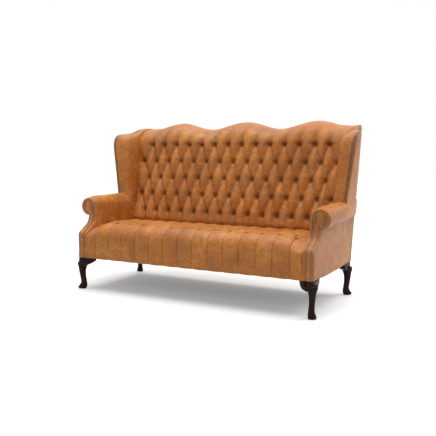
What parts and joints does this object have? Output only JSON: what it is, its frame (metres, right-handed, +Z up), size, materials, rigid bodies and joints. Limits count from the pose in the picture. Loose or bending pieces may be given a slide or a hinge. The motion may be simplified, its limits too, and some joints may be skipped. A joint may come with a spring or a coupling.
{
  "type": "wing-back sofa",
  "caption": "High-back leather sofa with a deep-buttoned back and seat, wings, scroll arms with nail trim, a humped crest and cabriole legs.",
  "frame": {"origin": "middle of the sofa on the floor, at the bottom of the foot glides", "axes": "+X to the right seen from the front, -Y to the front, +Z up"},
  "size_m": [1.9352, 0.96, 1.193],
  "materials": {
    "leather": "waxed, softly glossy, tufted",
    "leather_dark": "waxed, covered buttons",
    "timber": "bare beech, planed",
    "mahogany": "dark polished mahogany",
    "foam": "soft foam and wadding",
    "steel": "plain steel",
    "cloth": "black woven dust cloth and felt",
    "hessian": "woven jute",
    "pewter": "antique pewter, dull"
  },
  "bodies": {
    "root": {"front_seat_rail": "timber", "rear_seat_rail": "timber", "seat_side_rail_left": "timber", "seat_side_rail_right": "timber", "seat_cross_rails": "timber", "corner_blocks": "timber", "back_post_left": "timber", "back_post_right": "timber", "back_centre_posts": "timber", "back_top_rail": "timber", "back_lower_rail": "timber", "arm_front_board_left": "timber", "arm_front_board_right": "timber", "arm_top_rail_left": "timber", "arm_top_rail_right": "timber", "arm_tacking_rail_left": "timber", "arm_tacking_rail_right": "timber", "wing_board_left": "timber", "wing_board_right": "timber", "seat_springs": "steel", "spring_clips": "steel", "seat_hessian": "hessian", "back_webbing": "hessian", "seat_foam": "foam", "back_foam": "foam", "arm_pad_left": "foam", "arm_pad_right": "foam", "wing_pad_left": "foam", "wing_pad_right": "foam", "seat_cover": "leather", "back_cover": "leather", "arm_cover_left": "leather", "arm_cover_right": "leather", "arm_facing_left": "leather", "arm_facing_right": "leather", "outside_arm_panel_left": "leather", "outside_arm_panel_right": "leather", "wing_cover_left": "leather", "wing_cover_right": "leather", "outside_wing_panel_left": "leather", "outside_wing_panel_right": "leather", "outside_back_panel": "leather", "dust_cover": "cloth", "back_buttons": "leather_dark", "seat_buttons": "leather_dark", "facing_nails_left": "pewter", "facing_nails_right": "pewter", "wing_nails_left": "pewter", "wing_nails_right": "pewter", "leg_front_left": "mahogany", "leg_front_right": "mahogany", "leg_rear_left": "mahogany", "leg_rear_right": "mahogany", "knee_brackets": "mahogany", "leg_bolts": "steel", "foot_glides": "cloth"}
  },
  "joints": []
}
